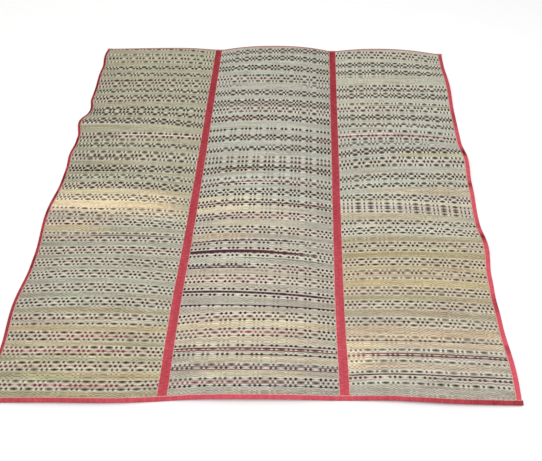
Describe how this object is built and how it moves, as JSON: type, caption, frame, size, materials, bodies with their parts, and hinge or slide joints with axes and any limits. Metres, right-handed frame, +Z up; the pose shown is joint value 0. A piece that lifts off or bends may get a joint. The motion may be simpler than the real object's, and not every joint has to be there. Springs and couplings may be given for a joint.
{
  "type": "reed mat",
  "caption": "Folding floor mat of woven reeds: panels side by side, joined by cotton tape and bound with the same tape.",
  "frame": {"origin": "middle of the mat's own box, on the floor", "axes": "+X across the panels, +Y along them from the near end to the far end, +Z up"},
  "size_m": [1.836, 1.8711, 0.0376],
  "materials": {
    "woven_reed": "matt split reed with dyed figures",
    "red_tape": "matt cotton tape"
  },
  "bodies": {
    "root": {"panel_left": "woven_reed", "panel_middle": "woven_reed", "panel_right": "woven_reed", "seam_tape_left": "red_tape", "seam_tape_right": "red_tape", "binding_left": "red_tape", "binding_right": "red_tape", "binding_near": "red_tape", "binding_far": "red_tape"}
  },
  "joints": []
}
